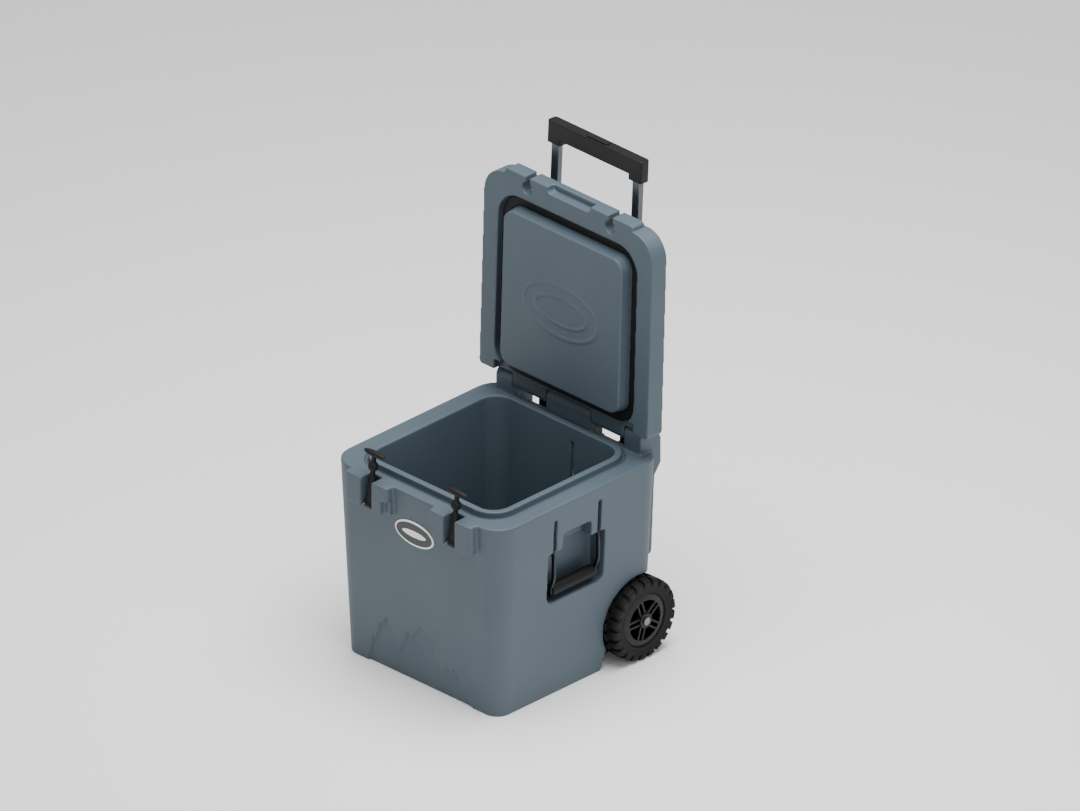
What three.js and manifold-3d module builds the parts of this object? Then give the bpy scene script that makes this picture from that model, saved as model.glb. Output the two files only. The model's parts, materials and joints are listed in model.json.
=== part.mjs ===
// Wheeled hard cooler with a hinged lid, rubber latches, swing-out side handles and a telescoping pull handle.
// Millimetres. +Z up, +Y to the back, +X to the right seen from the front. Origin on the ground, mid-base.
import * as THREE from 'three';
import { mergeVertices } from 'three/addons/utils/BufferGeometryUtils.js';
import Module from 'manifold-3d';

const wasm = await Module();
wasm.setup();

// ---- driving dimensions -------------------------------------------------------------------------
const GAP = 0.3; // between pieces that touch
const BODY_W = 500; // outside width at the shelf
const BODY_D = 504; // outside depth at the shelf
const BODY_H = 460; // shelf height
const BODY_R = 58; // plan corner radius at the shelf
const BODY_R_LOW = 34; // plan corner radius at the ground
const DRAFT = 0.0503; // outside wall draft, tangent
const WALL_SIDE = 62; // side wall thickness at the mouth
const WALL_FRONT = 51; // front wall thickness at the mouth
const WALL_BACK = 65; // back wall thickness at the mouth
const CAVITY_R = 42; // plan corner radius of the mouth
const CAVITY_DRAFT = 0.038; // inside wall draft, tangent
const FLOOR_T = 60; // floor thickness
const SKIN = 7; // plastic skin around the foam
const LIP_W = 15; // sealing lip width
const LIP_H = 11; // sealing lip height above the shelf
const GROOVE_W = 8; // drain groove width outside the lip
const GROOVE_D = 6; // drain groove depth
const HINGE_IN = 22; // hinge axis in front of the shelf's back edge
const HINGE_UP = 33.7; // hinge axis height above the shelf
const HINGE_PIN_R = 4; // hinge pin radius
const LUG_R = 18; // hinge lug and knuckle radius
const LUG_IN = 66; // half width of the middle lug
const LUG_W = 50; // outer lug width
const LUG_SIDE = 35; // outer lug from the side wall
const LUG_REACH = 23; // outer lug behind the back wall
const KNUCKLE_GAP = 1.5; // side play of each lid knuckle
const LID_OPEN = 92; // degrees the lid stands open
const LID_T = 44.5; // lid thickness
const LID_OVER = 10; // lid front edge past the shelf, at its corners
const LID_BACK_GAP = 2; // lid back edge in front of the hinge lugs
const LID_BUMP = 13; // how far the middle of the front edge stands out
const LID_BUMP_IN = 60; // from the lid's side to where that middle starts
const KEYHOLE_W = 13; // mouth of the notch that takes a latch
const FINGER_W = 126; // finger recess width
const FINGER_D = 15; // finger recess depth
const FINGER_H = 20; // finger recess height
const PLUG_DEPTH = 15; // lid plug below the rim
const PLUG_GAP = 8.5; // plug to mouth, all round
const GASKET_T = 4; // gasket thickness
const LATCH_X = 123; // latch centre from the middle
const LATCH_BLOCK_W = 126; // latch block width
const LATCH_BLOCK_OUT = 19.6; // how far the latch block stands out
const LATCH_BLOCK_H = 68; // latch block height
const LATCH_SLOT_W = 33; // notch that the strap lies in
const NOTCH_D = 14.4; // how far that notch runs in behind the wall
const NOTCH_UNDER = 9; // notch below the anchor pin
const STRAP_W = 19; // strap width
const STRAP_T = 7; // strap thickness
const STRAP_L = 118; // anchor pin to T handle
const STRAP_LEAN = 7; // degrees the strap leans back
const BALL_R = 12.2; // strap ball radius
const STRAP_NECK = 9; // strap width above and below the ball
const TEE_W = 62; // T handle width
const TEE_R = 7; // T handle half thickness
const ANCHOR_R = 3.5; // anchor pin radius
const ANCHOR_DOWN = 64; // anchor pin below the shelf
const ANCHOR_END = 10; // anchor pin into the block at each end
const ANCHOR_OUT = 7; // anchor pin in front of the shelf edge
const POCKET_Y = -7; // side handle centre
const POCKET_W = 170; // side pocket width
const POCKET_DOWN = 234; // side pocket bottom below the shelf
const POCKET_TOP = 112; // side pocket top below the shelf
const POCKET_D = 54; // side pocket depth
const POCKET_R = 18; // side pocket corner radius
const RECESS_W = 85; // hand recess above the pocket, width
const RECESS_H = 80; // hand recess height
const RECESS_DOWN = 75; // hand recess top below the shelf
const RECESS_STEP = 14; // hand recess shallower than the pocket
const ARM_SPREAD = 133; // between the two handle arms
const ARM_T = 5; // arm thickness
const ARM_W = 9; // arm width
const ARM_SLOT_W = 10; // slot that the arm swings in
const ARM_SLOT_DOWN = 33; // top of that slot below the shelf
const ARM_SLOT_H = 120; // height of that slot
const ARM_SLOT_D = 13; // depth of that slot behind the pivot
const GRIP_R = 14; // side grip radius
const ROD_R = 5; // rod through the side grip
const PIVOT_IN = 22; // side handle pivot inside the shelf's side edge
const PIVOT_DOWN = 100; // side handle pivot below the shelf
const PIVOT_R = 4; // side handle pivot pin radius
const PIVOT_HALF = 11; // half length of that pin
const WHEEL_R = 93; // tyre radius
const WHEEL_BACK = 68.7; // wheel centre in front of the shelf's back edge
const TYRE_W = 52; // tyre width
const TYRE_OUT = 10; // tyre outer face past the shelf's side edge
const TYRE_H = 33; // tyre height over the rim
const TYRE_CROWN = 6; // rounded shoulder of the tyre
const WELL_ROOM = 6; // wheel well around the tyre
const WELL_SIDE = 28; // wheel well inside the tyre
const FOOT_GAP = 103.3; // foot's back edge in front of the wheel centre
const FOOT_RISE = 32; // how far that edge leans back up to the axle's height
const BOSS_R = 17; // hub boss radius
const AXLE_R = 6; // axle radius
const BOLT_R = 3; // axle bolt and bracket screw radius
const BOLT_HEAD_R = 9; // axle bolt head radius
const TUBE_X = 120; // pull handle tubes from the middle
const TUBE_Y = 20; // pull handle tubes behind the back wall
const TUBE_W = 21; // inner tube width
const TUBE_D = 16; // inner tube depth
const TUBE_WALL = 1.5; // tube wall
const TUBE_PLAY = 0.5; // play between tube stages
const SLEEVE_UP = 60; // fixed tube's lower end above the ground, along the handle
const SLEEVE_HIGH = 8; // fixed tube's upper end
const STAGE_LAP = 88; // overlap of the stages when pulled out
const MIDDLE_L = 400; // middle tube length
const INNER_L = 379; // inner tube length
const BAR_H = 38; // pull grip height
const BAR_D = 26; // pull grip depth
const SOCKET_W = 40; // pull grip end socket width
const SOCKET_H = 13; // how far the sockets reach below the bar
const SOCKET_LAP = 18; // tube inside the sockets
const BUTTON_W = 60; // release button width
const BUTTON_D = 14; // release button depth
const BUTTON_H = 8; // release button height
const BUTTON_UP = 1.5; // release button above the grip
const BUTTON_TRAVEL = 5; // room under the release button
const BRACKET_H = 40; // bracket height
const BRACKET_BLOCK = 40; // bracket block, inwards from the tube's middle
const BRACKET_EDGE = 20; // bracket inside the panel's edge
const SCREW_IN = 60; // bracket screw, inwards from the tube's middle
const PANEL_OUT = 7; // raised back panel
const PANEL_LOW = -253; // raised back panel's lower edge, below the shelf
const PANEL_HIGH = -20; // raised back panel's upper edge, below the shelf
const BADGE_W = 114; // badge width
const BADGE_H = 58; // badge height
const BADGE_T = 3; // badge thickness
const BADGE_DOWN = 92; // badge centre below the shelf
const RELIEF_D = 4; // depth of the landscape relief
const RELIEF_ROOM = 300; // foam stays behind the relief below this, from the shelf
const FOAM_LUG_GAP = 12; // foam in front of the hinge lugs
const FOAM_LUG_DOWN = 60; // foam below the shelf under the hinge lugs
const DIVIDER_X = 38; // divider slot from the middle
const DIVIDER_W = 8; // divider slot width
const DRAIN_Y = -70; // drain centre
const DRAIN_UP = 14; // drain centre above the floor
const DRAIN_R = 12; // drain bore radius
const CAP_R = 22; // drain cap radius
const CAP_T = 11; // drain cap thickness
const DRAIN_STEM = 34; // drain stem inside the wall
const DRAIN_BORE = 40; // drain bore past the mouth's side
const FILL_R = 12; // foam filling hole radius
const FILL_HEAD = 8; // filling plug's head past its hole
const LID_FILL_R = 7; // lid filling hole radius
const FILL_Y = 90; // foam filling hole behind the middle of the base

// ---- sizes worked out from them -------------------------------------------------------------------
const LEAN = Math.atan(DRAFT);
const HALF_W = BODY_W / 2;
const HALF_D = BODY_D / 2;
const LIP_TOP = BODY_H + LIP_H;
const HINGE_Y = HALF_D - HINGE_IN;
const HINGE_Z = BODY_H + HINGE_UP;
const LUG_OUT = HALF_W - LUG_SIDE;
const LUG_GAP_OUT = LUG_OUT - LUG_W;
const PIN_END = LUG_OUT - 8;
const PIN_GAP = 12;
const MOUTH_W = BODY_W - 2 * WALL_SIDE;
const MOUTH_D = BODY_D - WALL_FRONT - WALL_BACK;
const MOUTH_Y = (WALL_FRONT - WALL_BACK) / 2;
const LID_LOW = BODY_H + 0.5;
const LID_TOP = LID_LOW + LID_T;
const LID_FRONT = HALF_D + LID_OVER;
const LID_BACK = HINGE_Y - LUG_R - LID_BACK_GAP;
const LID_BUMP_W = BODY_W - 2 * LID_BUMP_IN;
const ANCHOR_Z = BODY_H - ANCHOR_DOWN;
const ANCHOR_HALF = LATCH_SLOT_W / 2 + ANCHOR_END;
const POCKET_LOW = BODY_H - POCKET_DOWN;
const POCKET_HIGH = BODY_H - POCKET_TOP;
const POCKET_FLOOR = HALF_W - POCKET_D;
const RECESS_HIGH = BODY_H - RECESS_DOWN;
const ARM_SLOT_TOP = BODY_H - ARM_SLOT_DOWN;
const PIVOT_X = HALF_W - PIVOT_IN;
const PIVOT_Z = BODY_H - PIVOT_DOWN;
const WHEEL_Y = HALF_D - WHEEL_BACK;
const WHEEL_OUT = HALF_W + TYRE_OUT;
const WHEEL_IN = WHEEL_OUT - TYRE_W;
const WELL_R = WHEEL_R + WELL_ROOM;
const WELL_IN = WHEEL_IN - WELL_SIDE;
const FOOT_BACK = WHEEL_Y - FOOT_GAP;
const RIM_R = WHEEL_R - TYRE_H;
const SLEEVE_LOW = SLEEVE_UP - BODY_H;
const BAR_W = 2 * TUBE_X + SOCKET_W;
const MIDDLE_W = TUBE_W + 2 * (TUBE_WALL + TUBE_PLAY);
const MIDDLE_D = TUBE_D + 2 * (TUBE_WALL + TUBE_PLAY);
const SLEEVE_W = MIDDLE_W + 2 * (TUBE_WALL + TUBE_PLAY);
const SLEEVE_D = MIDDLE_D + 2 * (TUBE_WALL + TUBE_PLAY);
const MIDDLE_LOW = SLEEVE_HIGH - STAGE_LAP;
const MIDDLE_HIGH = MIDDLE_LOW + MIDDLE_L;
const INNER_LOW = MIDDLE_HIGH - STAGE_LAP;
const INNER_HIGH = INNER_LOW + INNER_L;
const SOCKET_LOW = INNER_HIGH - SOCKET_LAP;
const BAR_LOW = SOCKET_LOW + SOCKET_H;
const BAR_HIGH = BAR_LOW + BAR_H;
const sideX = (z) => HALF_W - DRAFT * (BODY_H - z);

// ---- materials ------------------------------------------------------------------------------------
function paint(color, roughness, metalness = 0) {
  return () => new THREE.MeshStandardMaterial({ color, roughness, metalness });
}
const bluePlastic = paint(0x536c7c, 0.55);
const blackPlastic = paint(0x17181a, 0.5);
const rubber = paint(0x101113, 0.75);
const steel = paint(0xa9acb0, 0.3, 1);
const darkSteel = paint(0x2a2c2f, 0.4, 0.8);
const foam = paint(0xe8dcae, 0.9);
const plate = paint(0xd5d8da, 0.4);

// ---- tools ----------------------------------------------------------------------------------------
function toSolid(geometry) {
  const bare = geometry.clone();
  bare.deleteAttribute('normal');
  bare.deleteAttribute('uv');
  const merged = mergeVertices(bare, 1e-4);
  const vertProperties = new Float32Array(merged.attributes.position.array);
  const triVerts = new Uint32Array(merged.index.array);
  return new wasm.Manifold(new wasm.Mesh({ numProp: 3, vertProperties, triVerts }));
}

function toGeometry(solid) {
  const mesh = solid.getMesh();
  const geometry = new THREE.BufferGeometry();
  geometry.setAttribute('position', new THREE.BufferAttribute(new Float32Array(mesh.vertProperties), 3));
  geometry.setIndex(new THREE.BufferAttribute(new Uint32Array(mesh.triVerts), 1));
  return geometry;
}

const join = (first, ...rest) => rest.reduce((sum, solid) => sum.add(solid), first);
const cut = (first, ...rest) => rest.reduce((left, solid) => left.subtract(solid), first);

// A block between two corners.
function block(x0, x1, y0, y1, z0, z1) {
  const box = new THREE.BoxGeometry(x1 - x0, y1 - y0, z1 - z0);
  return toSolid(box.translate((x0 + x1) / 2, (y0 + y1) / 2, (z0 + z1) / 2));
}

// The same block on the right and on the left.
const blockPair = (x0, x1, ...rest) => block(x0, x1, ...rest).add(block(-x1, -x0, ...rest));

// A round bar along X, Y or Z.
function bar(radius, from, to, axis = 'x', sides = 24) {
  const start = new THREE.Vector3(...from);
  const end = new THREE.Vector3(...to);
  const geometry = new THREE.CylinderGeometry(radius, radius, start.distanceTo(end), sides);
  if (axis === 'x') geometry.rotateZ(Math.PI / 2);
  if (axis === 'z') geometry.rotateX(Math.PI / 2);
  const middle = start.add(end).multiplyScalar(0.5);
  return geometry.translate(middle.x, middle.y, middle.z);
}

// An outline with rounded corners, centred on (x, y).
function roundRect(width, depth, radius, x = 0, y = 0) {
  const shape = new THREE.Shape();
  const w = width / 2 - radius;
  const d = depth / 2 - radius;
  shape.absarc(x + w, y + d, radius, 0, Math.PI / 2);
  shape.absarc(x - w, y + d, radius, Math.PI / 2, Math.PI);
  shape.absarc(x - w, y - d, radius, Math.PI, 1.5 * Math.PI);
  shape.absarc(x + w, y - d, radius, 1.5 * Math.PI, 2 * Math.PI);
  return shape;
}

const outline = (points) => new THREE.Shape(points.map(([a, b]) => new THREE.Vector2(a, b)));

function prism(shape, z0, z1, curveSegments = 6) {
  const options = { depth: z1 - z0, bevelEnabled: false, curveSegments };
  return new THREE.ExtrudeGeometry(shape, options).translate(0, 0, z0);
}

// A prism whose lower outline differs from the upper one: both have the same points in order.
function taperedPrism(top, bottom, z0, z1, curveSegments = 6) {
  const geometry = prism(top, z0, z1, curveSegments);
  const high = top.getPoints(curveSegments);
  const low = bottom.getPoints(curveSegments);
  const position = geometry.attributes.position;
  for (let i = 0; i < position.count; i += 1) {
    if (position.getZ(i) > z0 + 1e-6) continue;
    const here = new THREE.Vector2(position.getX(i), position.getY(i));
    const match = high.findIndex((point) => point.distanceTo(here) < 1e-3);
    position.setXY(i, low[match].x, low[match].y);
  }
  return geometry;
}

// A profile in Y and Z drawn out along X, and one in X and Z drawn out along Y.
function prismX(shape, x0, x1, curveSegments = 6) {
  const turn = new THREE.Matrix4().makeBasis(
    new THREE.Vector3(0, 1, 0),
    new THREE.Vector3(0, 0, 1),
    new THREE.Vector3(1, 0, 0),
  );
  return prism(shape, 0, x1 - x0, curveSegments).applyMatrix4(turn).translate(x0, 0, 0);
}

function prismY(shape, y0, y1, curveSegments = 6) {
  const turn = new THREE.Matrix4().makeBasis(
    new THREE.Vector3(1, 0, 0),
    new THREE.Vector3(0, 0, 1),
    new THREE.Vector3(0, -1, 0),
  );
  return prism(shape, 0, y1 - y0, curveSegments).applyMatrix4(turn).translate(0, y1, 0);
}

const mirrored = (geometry) => {
  const copy = geometry.clone().scale(-1, 1, 1);
  const index = copy.index ? copy.index.array : [...Array(copy.attributes.position.count).keys()];
  const flipped = [];
  for (let i = 0; i < index.length; i += 3) flipped.push(index[i], index[i + 2], index[i + 1]);
  copy.setIndex(flipped);
  return copy;
};

const cooler = new THREE.Group();

function addPiece(name, solidOrGeometry, material, parent = cooler) {
  const solid = solidOrGeometry.isBufferGeometry ? toSolid(solidOrGeometry) : solidOrGeometry;
  const geometry = toGeometry(solid);
  const mesh = new THREE.Mesh(geometry, material());
  mesh.name = name;
  parent.add(mesh);
}

// The mouth and everything that follows it: grown outwards by `grow`, from z0 to z1.
function mouthPrism(grow, z0, z1, segments = 6) {
  const inset = (z) => CAVITY_DRAFT * Math.max(0, LIP_TOP - z);
  const at = (z) => roundRect(
    MOUTH_W + 2 * (grow - inset(z)),
    MOUTH_D + 2 * (grow - inset(z)),
    CAVITY_R + grow - inset(z) / 2,
    0,
    MOUTH_Y,
  );
  return toSolid(taperedPrism(at(z1), at(z0), z0, z1, segments));
}

function mouthStraight(grow, z0, z1, segments = 6) {
  const shape = roundRect(MOUTH_W + 2 * grow, MOUTH_D + 2 * grow, CAVITY_R + grow, 0, MOUTH_Y);
  return toSolid(prism(shape, z0, z1, segments));
}

// The drafted outside, shrunk inwards by `skin`.
function outsidePrism(skin, z0, z1, segments = 6) {
  const at = (z) => {
    const drop = DRAFT * (BODY_H - z);
    const radius = THREE.MathUtils.lerp(BODY_R_LOW, BODY_R, z / BODY_H) - skin;
    return roundRect(BODY_W - 2 * (drop + skin), BODY_D - 2 * (drop + skin), radius);
  };
  return toSolid(taperedPrism(at(z1), at(z0), z0, z1, segments));
}

// A frame that follows the front or the back wall: local Z runs up the wall from the shelf's edge.
function wallFrame(side) {
  const tilt = new THREE.Matrix4().makeRotationX(side * -LEAN);
  return new THREE.Matrix4().makeTranslation(0, side * HALF_D, BODY_H).multiply(tilt);
}
const onFront = (geometry) => geometry.applyMatrix4(wallFrame(-1));
const onBack = (geometry) => geometry.applyMatrix4(wallFrame(1));

// ---- body -----------------------------------------------------------------------------------------
// Space cut away around both wheels, and behind the foot under them.
function wheelWells() {
  const reach = HALF_W + 40;
  const well = bar(WELL_R, [WELL_IN, WHEEL_Y, WHEEL_R], [reach, WHEEL_Y, WHEEL_R], 'x', 32);
  const footEdge = outline([
    [FOOT_BACK, -1],
    [WHEEL_Y + WELL_R, -1],
    [WHEEL_Y + WELL_R, WHEEL_R],
    [FOOT_BACK + FOOT_RISE, WHEEL_R],
    [FOOT_BACK + FOOT_RISE / 2, WHEEL_R / 2],
  ]);
  const foot = prismX(footEdge, WELL_IN, reach);
  return join(...[well, foot, mirrored(well), mirrored(foot)].map(toSolid));
}

// Pockets that the side handles fold into, a hand recess above each, and a slot for each arm.
function sidePockets() {
  const far = HALF_W + 20;
  const corner = POCKET_R;
  const half = POCKET_W / 2;
  const shape = new THREE.Shape();
  shape.moveTo(POCKET_Y - half, POCKET_HIGH);
  shape.lineTo(POCKET_Y - half, POCKET_LOW + corner);
  shape.absarc(POCKET_Y - half + corner, POCKET_LOW + corner, corner, Math.PI, 1.5 * Math.PI);
  shape.absarc(POCKET_Y + half - corner, POCKET_LOW + corner, corner, 1.5 * Math.PI, 2 * Math.PI);
  shape.lineTo(POCKET_Y + half, POCKET_HIGH);
  const recess = roundRect(RECESS_W, RECESS_H, 8, POCKET_Y, RECESS_HIGH - RECESS_H / 2);
  const recessFloor = POCKET_FLOOR + RECESS_STEP;
  const shapes = [prismX(shape, POCKET_FLOOR, far, 5), prismX(recess, recessFloor, far, 3)];
  for (const end of [-1, 1]) {
    const y = POCKET_Y + end * ARM_SPREAD / 2;
    const slot = roundRect(ARM_SLOT_W, ARM_SLOT_H, ARM_SLOT_W / 2 - 0.01, y, ARM_SLOT_TOP - ARM_SLOT_H / 2);
    shapes.push(prismX(slot, PIVOT_X - ARM_SLOT_D, far, 4));
  }
  return join(...[...shapes, ...shapes.map(mirrored)].map(toSolid));
}

function latchBlock(sign) {
  const half = LATCH_BLOCK_W / 2;
  const back = -HALF_D + 20;
  const middleY = -HALF_D - LATCH_BLOCK_OUT / 2 + 10;
  const shape = roundRect(LATCH_BLOCK_W, LATCH_BLOCK_OUT + 20, 9, sign * (LATCH_X + 1), middleY);
  const solid = toSolid(prism(shape, BODY_H - LATCH_BLOCK_H, BODY_H, 4));
  const x = sign * (LATCH_X + 1);
  return solid.add(block(x - half, x + half, -HALF_D + 1, back, BODY_H - LATCH_BLOCK_H, BODY_H));
}

function latchNotch(sign) {
  const x = sign * LATCH_X;
  const half = LATCH_SLOT_W / 2;
  return block(x - half, x + half, -HALF_D - 40, -HALF_D + NOTCH_D, ANCHOR_Z - NOTCH_UNDER, BODY_H + 5);
}

// One lug: a rounded head on the hinge axis over a foot that runs down into the back wall.
function lugProfile() {
  const back = HALF_D + LUG_REACH;
  const shape = new THREE.Shape();
  shape.moveTo(HINGE_Y - 12, BODY_H - 8);
  shape.lineTo(HALF_D - 6, BODY_H - 75);
  shape.lineTo(back, BODY_H - 38);
  shape.lineTo(back, BODY_H + 22);
  shape.lineTo(back - 10, HINGE_Z + LUG_R - 4);
  shape.lineTo(HINGE_Y + 6, HINGE_Z + LUG_R);
  shape.absarc(HINGE_Y, HINGE_Z, LUG_R, Math.PI / 2, Math.PI);
  shape.lineTo(HINGE_Y - LUG_R, BODY_H - 8);
  return shape;
}

function middleLugProfile() {
  const shape = new THREE.Shape();
  shape.moveTo(HINGE_Y - LUG_R, BODY_H - 10);
  shape.lineTo(HALF_D - 2, BODY_H - 10);
  shape.lineTo(HALF_D - 2, HINGE_Z);
  shape.absarc(HINGE_Y, HINGE_Z, LUG_R, 0, Math.PI);
  return shape;
}

function hingePinSolid(grow, from, to) {
  return toSolid(bar(HINGE_PIN_R + grow, [from, HINGE_Y, HINGE_Z], [to, HINGE_Y, HINGE_Z], 'x', 16));
}

const LATCH_STEP_X = LATCH_X - LATCH_BLOCK_W / 2 - 2;
const LATCH_STEP_Z = BODY_H - LATCH_BLOCK_H - 2;
// A step cut out of the low inner corner of each latch block.
const LATCH_STEP = [
  LATCH_STEP_X, LATCH_STEP_X + 20, -HALF_D - 40, -HALF_D - 9, LATCH_STEP_Z, LATCH_STEP_Z + 36,
];

// A generic range of peaks, open at the ground.
function reliefShape() {
  const low = -BODY_H - 5;
  return outline([
    [-158, low], [-138, -392], [-130, -398], [-116, -350], [-110, -360], [-96, -330], [-62, -404],
    [-34, -346], [-26, -356], [4, -318], [34, -330], [64, -404], [82, -388], [92, -396], [104, -386],
    [138, -446], [158, low],
  ]);
}

function bodyOutside() {
  let solid = outsidePrism(0, 0, BODY_H);
  solid = join(solid, latchBlock(1), latchBlock(-1));
  const outerLug = prismX(lugProfile(), LUG_GAP_OUT, LUG_OUT, 6);
  solid = join(solid, toSolid(outerLug), toSolid(mirrored(outerLug)));
  solid = join(solid, toSolid(prismX(middleLugProfile(), -LUG_IN, LUG_IN, 8)));
  const panel = roundRect(2 * LUG_OUT, PANEL_HIGH - PANEL_LOW, 16, 0, (PANEL_HIGH + PANEL_LOW) / 2);
  solid = solid.add(toSolid(onBack(prismY(panel, -10, PANEL_OUT, 3))));
  return solid;
}

function bodyCuts() {
  const scallopAt = [HALF_D + LUG_REACH, BODY_H];
  const scallop = bar(47, [LUG_IN, ...scallopAt], [LUG_GAP_OUT, ...scallopAt], 'x', 28);
  const dividerHigh = LIP_TOP - 34;
  const dividerLow = FLOOR_T + 30;
  const mouthFront = MOUTH_Y - MOUTH_D / 2;
  const mouthBack = MOUTH_Y + MOUTH_D / 2;
  const dividerSlots = (x) => {
    const from = x - DIVIDER_W / 2;
    const to = x + DIVIDER_W / 2;
    const front = block(from, to, mouthFront - 4, mouthFront + 30, dividerLow, dividerHigh);
    const back = block(from, to, mouthBack - 30, mouthBack + 4, dividerLow, dividerHigh);
    return front.add(back);
  };
  const drainZ = FLOOR_T + DRAIN_UP;
  const cuts = [
    mouthPrism(0, FLOOR_T, LIP_TOP + 0.01),
    dividerSlots(DIVIDER_X),
    wheelWells(),
    sidePockets(),
    latchNotch(1),
    latchNotch(-1),
    toSolid(scallop),
    toSolid(mirrored(scallop)),
    toSolid(onFront(prismY(reliefShape(), -40, RELIEF_D))),
    blockPair(...LATCH_STEP),
    hingePinSolid(GAP, PIN_GAP, PIN_END + GAP),
    hingePinSolid(GAP, -PIN_END - GAP, -PIN_GAP),
    toSolid(bar(AXLE_R + GAP, [-HALF_W, WHEEL_Y, WHEEL_R], [HALF_W, WHEEL_Y, WHEEL_R], 'x', 20)),
    toSolid(bar(DRAIN_R, [-HALF_W - 5, DRAIN_Y, drainZ], [DRAIN_BORE - MOUTH_W / 2, DRAIN_Y, drainZ])),
    toSolid(bar(FILL_R, [0, FILL_Y, -1], [0, FILL_Y, SKIN + 1], 'z', 20)),
    toSolid(bar(FILL_R + FILL_HEAD, [0, FILL_Y, -1], [0, FILL_Y, 3], 'z', 20)),
  ];
  for (const sign of [-1, 1]) {
    const x = sign * LATCH_X;
    const half = ANCHOR_HALF + GAP;
    const y = -HALF_D - ANCHOR_OUT;
    const pinHole = bar(ANCHOR_R + GAP, [x - half, y, ANCHOR_Z], [x + half, y, ANCHOR_Z], 'x', 14);
    cuts.push(toSolid(pinHole));
    for (const end of [-1, 1]) {
      const yArm = POCKET_Y + end * ARM_SPREAD / 2;
      const from = [sign * PIVOT_X, yArm - PIVOT_HALF - GAP, PIVOT_Z];
      const to = [sign * PIVOT_X, yArm + PIVOT_HALF + GAP, PIVOT_Z];
      const hole = bar(PIVOT_R + GAP, from, to, 'y', 14);
      cuts.push(toSolid(hole));
    }
  }
  return cuts;
}

// The foam that fills the hollow plastic body; `grow` is how much wider the hollow is than the foam.
function bodyFoam(grow) {
  const skin = SKIN - grow;
  const pocketFront = POCKET_Y - POCKET_W / 2 - skin;
  const pocketBack = POCKET_Y + POCKET_W / 2 + skin;
  const axleRoom = AXLE_R + skin;
  const drainZ = FLOOR_T + DRAIN_UP;
  const drainHalf = DRAIN_R + skin;
  const drainEnd = DRAIN_BORE - MOUTH_W / 2;
  const foamBack = HINGE_Y - LUG_R - FOAM_LUG_GAP;
  const reliefTop = BODY_H - RELIEF_ROOM;
  const wellTop = WHEEL_R + WELL_R + skin;
  const wellFront = WHEEL_Y - WELL_R - skin;
  return cut(
    outsidePrism(skin, skin, BODY_H - skin, 3),
    mouthPrism(skin, FLOOR_T - skin, BODY_H + 5, 3),
    mouthStraight(LIP_W + GROOVE_W + 4 - grow, BODY_H - GROOVE_D - skin, BODY_H + 5, 3),
    blockPair(WELL_IN - skin, HALF_W, wellFront, HALF_D, 0, wellTop),
    blockPair(POCKET_FLOOR - skin, HALF_W, pocketFront, pocketBack, POCKET_LOW - skin, ARM_SLOT_TOP + skin),
    block(-HALF_W, HALF_W, -HALF_D, -HALF_D + NOTCH_D + skin, ANCHOR_Z - NOTCH_UNDER - skin, BODY_H),
    block(-HALF_W, HALF_W, foamBack + grow, HALF_D + 10, BODY_H - FOAM_LUG_DOWN + grow, BODY_H),
    block(-HALF_W, HALF_W, -HALF_D, -HALF_D + DRAFT * BODY_H + RELIEF_D + skin, -5, reliefTop - grow),
    block(-HALF_W, HALF_W, WHEEL_Y - axleRoom, WHEEL_Y + axleRoom, WHEEL_R - axleRoom, WHEEL_R + axleRoom),
    block(-HALF_W, drainEnd, DRAIN_Y - drainHalf, DRAIN_Y + drainHalf, drainZ - drainHalf, drainZ + drainHalf),
  );
}

function makeBody() {
  const lip = mouthStraight(LIP_W, BODY_H - 1, LIP_TOP);
  const groove = cut(
    mouthStraight(LIP_W + GROOVE_W, BODY_H - GROOVE_D, BODY_H + 0.5),
    mouthStraight(LIP_W, BODY_H - GROOVE_D - 1, BODY_H + 1),
  );
  let shell = cut(bodyOutside(), groove);
  shell = shell.add(lip);
  shell = cut(shell, ...bodyCuts(), bodyFoam(GAP));
  addPiece('body_shell', shell, bluePlastic);
  addPiece('body_foam', bodyFoam(0), foam);
  addPiece('foam_fill_plug', join(
    toSolid(bar(FILL_R - GAP, [0, FILL_Y, 2], [0, FILL_Y, SKIN - 0.8], 'z', 20)),
    toSolid(bar(FILL_R + FILL_HEAD - GAP, [0, FILL_Y, 0.7], [0, FILL_Y, 2.7], 'z', 20)),
  ), blackPlastic);
  for (const [side, sign] of [['right', 1], ['left', -1]]) {
    const ends = [sign * (PIN_GAP + GAP), sign * PIN_END].sort((a, b) => a - b);
    addPiece(`hinge_pin_${side}`, hingePinSolid(0, ...ends), steel);
  }
}

// ---- badge and drain --------------------------------------------------------------------------------
function makeBadge() {
  const shape = new THREE.Shape();
  shape.absellipse(0, -BADGE_DOWN, BADGE_W / 2, BADGE_H / 2, 0, 2 * Math.PI);
  addPiece('front_badge', onFront(prismY(shape, -BADGE_T - GAP, -GAP, 14)), plate);
}

function makeDrain() {
  const z = FLOOR_T + DRAIN_UP;
  const wall = -sideX(z + CAP_R) - GAP;
  const stemEnd = -sideX(z) + DRAIN_STEM;
  addPiece('drain_cap', join(
    toSolid(bar(CAP_R, [wall - CAP_T, DRAIN_Y, z], [wall, DRAIN_Y, z], 'x', 12)),
    toSolid(bar(DRAIN_R - 0.6, [wall - 1, DRAIN_Y, z], [stemEnd, DRAIN_Y, z], 'x', 24)),
  ), blackPlastic);
}

// ---- lid --------------------------------------------------------------------------------------------
// The lid is drawn closed and turned open about the hinge.
const lidGroup = new THREE.Group();
lidGroup.position.set(0, HINGE_Y, HINGE_Z);
lidGroup.rotation.x = -THREE.MathUtils.degToRad(LID_OPEN);
cooler.add(lidGroup);
const inLid = new THREE.Group();
inLid.position.set(0, -HINGE_Y, -HINGE_Z);
lidGroup.add(inLid);

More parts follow.
